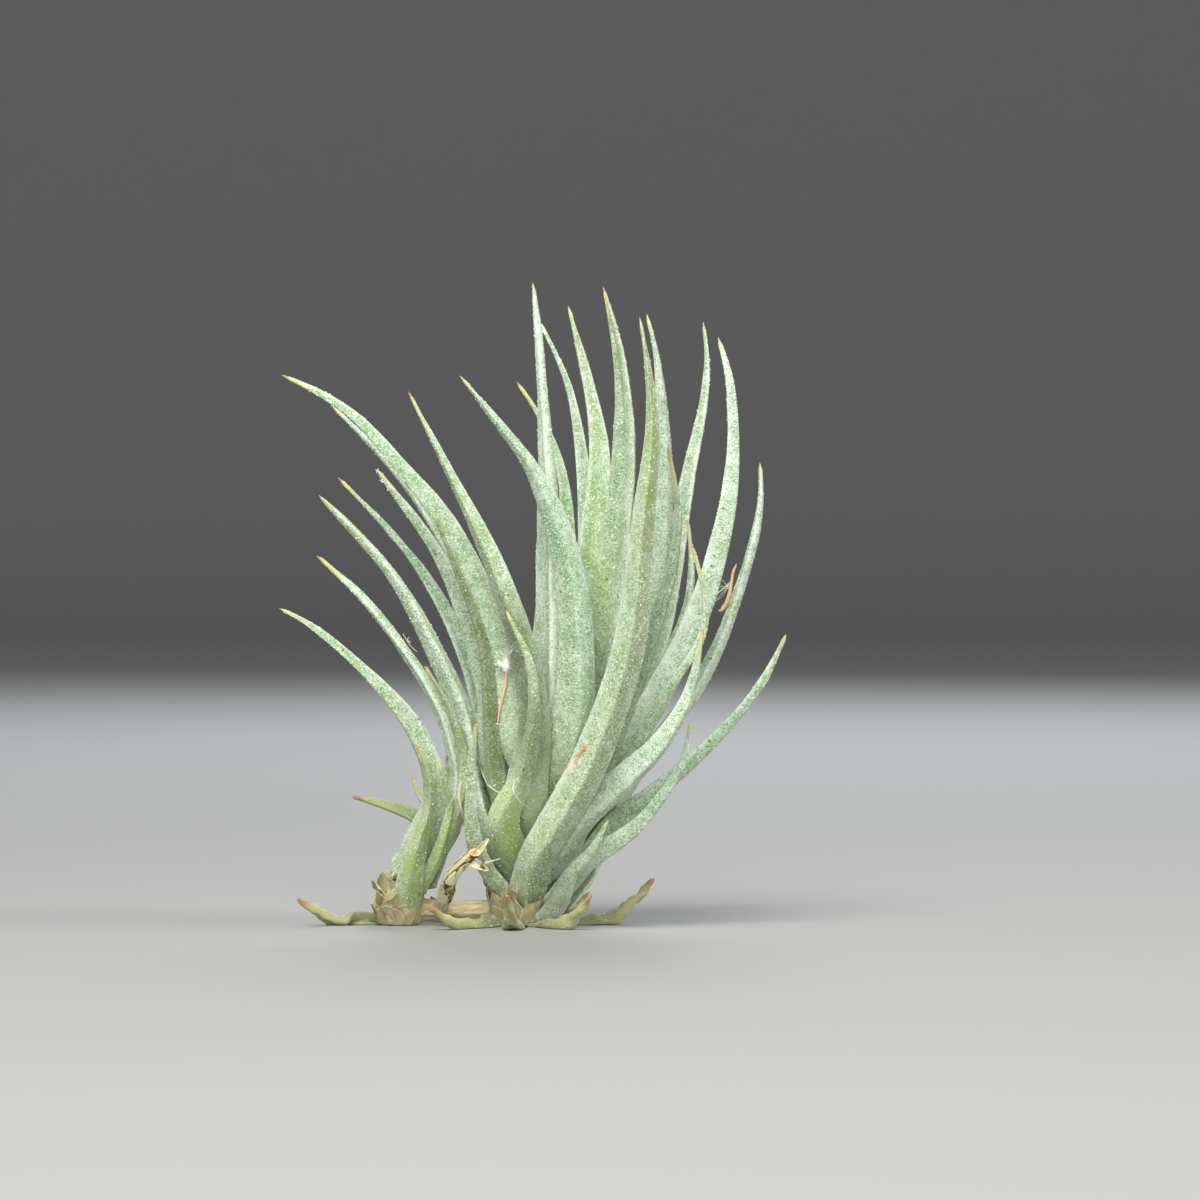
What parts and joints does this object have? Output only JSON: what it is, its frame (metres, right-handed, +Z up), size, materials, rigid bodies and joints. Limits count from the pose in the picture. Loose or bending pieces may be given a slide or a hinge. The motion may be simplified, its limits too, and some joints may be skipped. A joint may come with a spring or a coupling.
{
  "type": "tillandsia loliacea air plant",
  "caption": "Small clumping air plant: narrow, channelled, scaly grey-green leaves that sweep up and out from a short stem, with a side shoot and an old flower stalk stump.",
  "frame": {"origin": "centre of the flat foot of the main stem, on the surface that the plant rests on", "axes": "+Z up along the plant's height, +X to the right as seen from the front, -Y towards the front"},
  "size_m": [0.0455, 0.026, 0.0579],
  "materials": {
    "leaf": "matt grey-green skin covered with coarse grey-white scales, tan at the tips, yellow-green at the sheaths",
    "old_leaf": "matt fading leaf, olive to straw, with sparse scales",
    "stem": "matt fibrous old stem ringed with leaf scars",
    "dry_stalk": "matt dry stalk with a pale cut end and brown papery bracts"
  },
  "bodies": {
    "root": {"leaf_front_left_short": "leaf", "leaf_centre_short_front": "leaf", "leaf_left_front": "leaf", "leaf_left_narrow": "leaf", "leaf_left_longest": "leaf", "leaf_left_torn_tip": "leaf", "leaf_left_high_back": "leaf", "leaf_left_low": "leaf", "leaf_left_low_back": "leaf", "leaf_centre_tall": "leaf", "leaf_centre_leaning": "leaf", "leaf_centre_back_short": "leaf", "leaf_centre_back_tall": "leaf", "leaf_centre_right_back": "leaf", "leaf_centre_channelled": "leaf", "leaf_front_long": "leaf", "leaf_right_front_low": "leaf", "leaf_right_narrow": "leaf", "leaf_right_upright": "leaf", "leaf_right_bright": "leaf", "leaf_right_thin": "leaf", "leaf_far_right": "leaf", "leaf_right_back": "leaf", "leaf_right_back_small": "leaf", "leaf_low_right_long": "leaf", "leaf_low_right_front": "leaf", "leaf_low_front_small": "leaf", "rear_leaf_1": "leaf", "rear_leaf_2": "leaf", "rear_leaf_3": "leaf", "rear_leaf_4": "leaf", "rear_leaf_5": "leaf", "rear_leaf_6": "leaf", "rear_leaf_7": "leaf", "rear_leaf_8": "leaf", "rear_leaf_9": "leaf", "rear_leaf_10": "leaf", "side_leaf_front": "leaf", "side_leaf_long": "leaf", "side_leaf_tall": "leaf", "side_leaf_inner": "leaf", "side_leaf_small_front": "leaf", "side_leaf_low_back": "leaf", "side_leaf_stub_back": "leaf", "side_rear_leaf_1": "leaf", "side_rear_leaf_2": "leaf", "side_ground_leaf": "old_leaf", "ground_leaf_1": "old_leaf", "ground_leaf_2": "old_leaf", "ground_leaf_3": "old_leaf", "ground_leaf_4": "old_leaf", "ground_leaf_5": "old_leaf", "ground_leaf_6": "old_leaf", "ground_leaf_7": "old_leaf", "flower_stalk_stump": "dry_stalk", "stem": "stem"}
  },
  "joints": []
}
